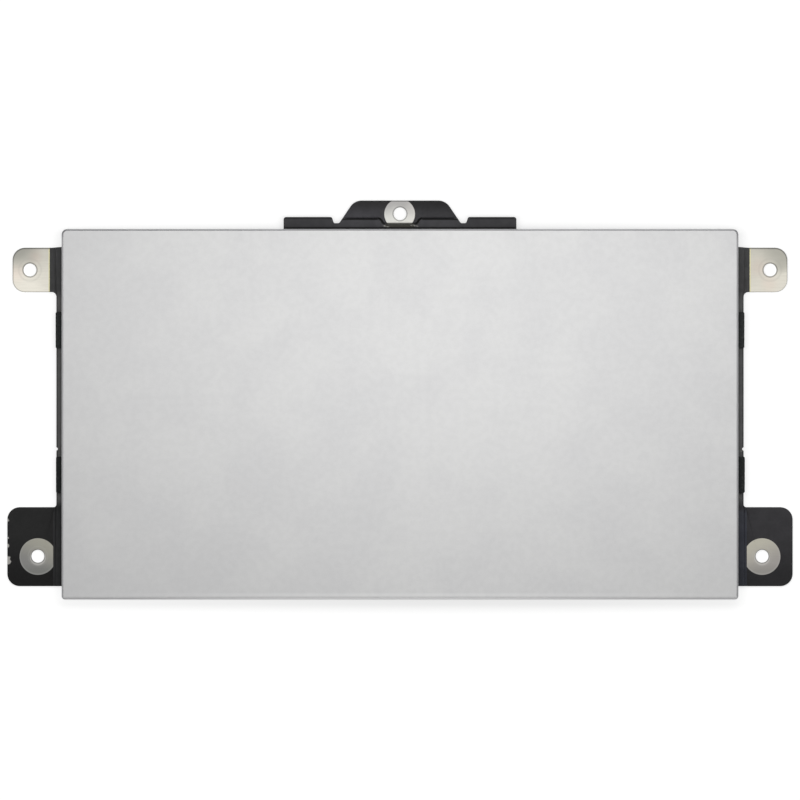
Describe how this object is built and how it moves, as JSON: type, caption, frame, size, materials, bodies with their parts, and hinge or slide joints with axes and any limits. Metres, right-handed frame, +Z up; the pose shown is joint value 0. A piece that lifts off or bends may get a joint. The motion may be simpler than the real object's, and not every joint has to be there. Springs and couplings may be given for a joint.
{
  "type": "trackpad",
  "caption": "Laptop trackpad module: a satin glass touch plate that clicks on leaf springs, in a stamped metal frame with screw ears.",
  "frame": {"origin": "middle of the bounding box in X and Y, level with the underside of the ears", "axes": "+X to the right and +Y to the rear as the picture shows the touch surface, +Z up out of the touch surface"},
  "size_m": [0.1336, 0.0678, 0.0034],
  "materials": {
    "frame_paint": "satin black paint, bare nickel plate round the screw holes",
    "spring_steel": "rolled spring steel",
    "rivet_steel": "plain zinc plate",
    "damper_foam": "matte closed-cell foam",
    "stop_rubber": "matte silicone rubber",
    "touch_glass": "etched satin, silver-backed",
    "adhesive": "double-sided film",
    "circuit_board": "green solder mask",
    "carrier_steel": "cold-rolled stainless",
    "chip_package": "moulded epoxy",
    "capacitor_body": "fired ceramic",
    "socket_plastic": "natural moulded plastic",
    "contact_gold": "gold flash",
    "tinned_metal": "matte tin plate",
    "latch_plastic": "black moulded plastic"
  },
  "bodies": {
    "frame": {"support_frame": "frame_paint", "rear_bracket": "frame_paint", "hinge_leaf_left": "spring_steel", "hinge_leaf_right": "spring_steel", "hinge_rivets": "rivet_steel", "side_dampers": "damper_foam", "down_stop_pads": "stop_rubber"},
    "touch_plate": {"touch_glass": "touch_glass", "glass_adhesive": "adhesive", "sensor_board": "circuit_board", "carrier_tape": "adhesive", "carrier_plate": "carrier_steel", "touch_controller": "chip_package", "chip_capacitors": "capacitor_body", "chip_resistors": "chip_package", "socket_housing": "socket_plastic", "socket_contacts": "contact_gold", "socket_anchor_tabs": "tinned_metal", "switch_base": "latch_plastic", "switch_terminals": "tinned_metal", "switch_dome": "spring_steel", "switch_cover": "tinned_metal"},
    "switch_button": {"switch_plunger": "latch_plastic"},
    "cable_latch": {"socket_latch": "latch_plastic"}
  },
  "joints": [
    {"name": "pad_click", "type": "hinge", "parent": "frame", "child": "touch_plate", "pos_m": [0, 0.02005, 0.00137], "axis": [1, 0, 0], "range_deg": [0, 0.258], "stiffness_Nm_per_rad": 12, "springref_deg": -0.17, "deforming": ["hinge_leaf_left", "hinge_leaf_right"]},
    {"name": "switch_press", "type": "slide", "parent": "touch_plate", "child": "switch_button", "axis": [0, 0, 1], "range_m": [0, 0.00021], "deforming": ["switch_dome"]},
    {"name": "latch_flip", "type": "hinge", "parent": "touch_plate", "child": "cable_latch", "pos_m": [-0.005, 0.00713, 0.00101], "axis": [-1, 0, 0], "range_deg": [0, 90]}
  ],
  "couplings": [
    {"joint": "switch_press", "follows": "pad_click", "m_per_rad": 0.046475}
  ]
}
